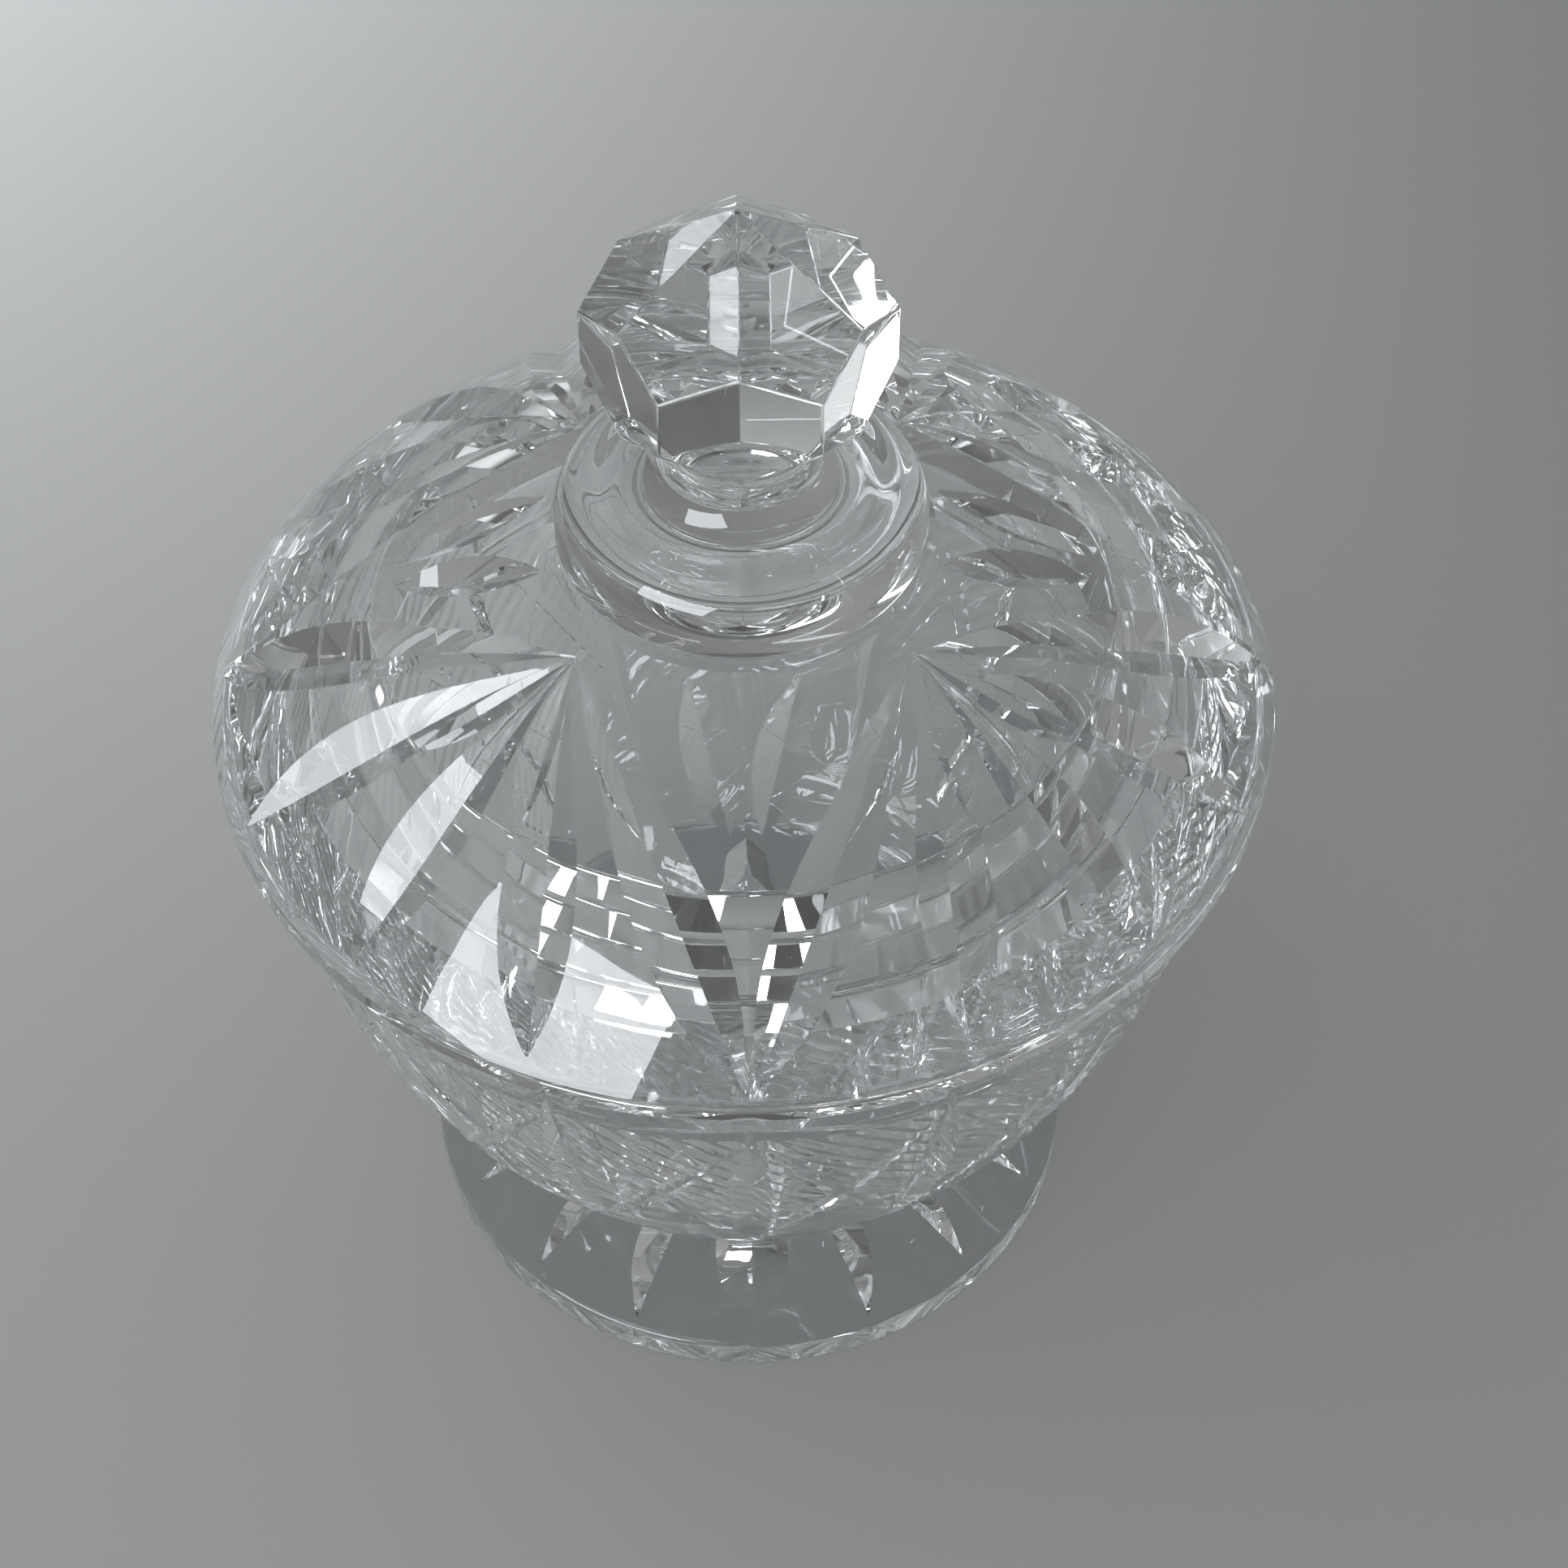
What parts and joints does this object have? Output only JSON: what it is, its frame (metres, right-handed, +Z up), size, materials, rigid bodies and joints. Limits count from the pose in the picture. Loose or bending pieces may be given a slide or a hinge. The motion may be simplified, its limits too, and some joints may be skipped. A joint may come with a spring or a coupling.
{
  "type": "powder jar",
  "caption": "Footed cut-crystal powder jar: a flared bowl on a disc foot, and a domed lid with a locating ring that lifts off by a faceted finial.",
  "frame": {"origin": "centre of the foot's flat underside, on the table", "axes": "+Z up along the jar's axis, towards the finial's point; +X and +Y level, with -Y towards the usual viewer"},
  "size_m": [0.11, 0.11, 0.1376],
  "materials": {
    "crystal": "polished clear lead crystal with polished wheel cuts"
  },
  "bodies": {
    "jar": {"bowl": "crystal", "foot": "crystal"},
    "lid": {"lid_dome": "crystal", "lid_collar": "crystal", "finial": "crystal"}
  },
  "joints": [
    {"name": "lid_lift", "type": "slide", "parent": "jar", "child": "lid", "axis": [0, 0, 1], "range_m": [0, 0.09]}
  ]
}
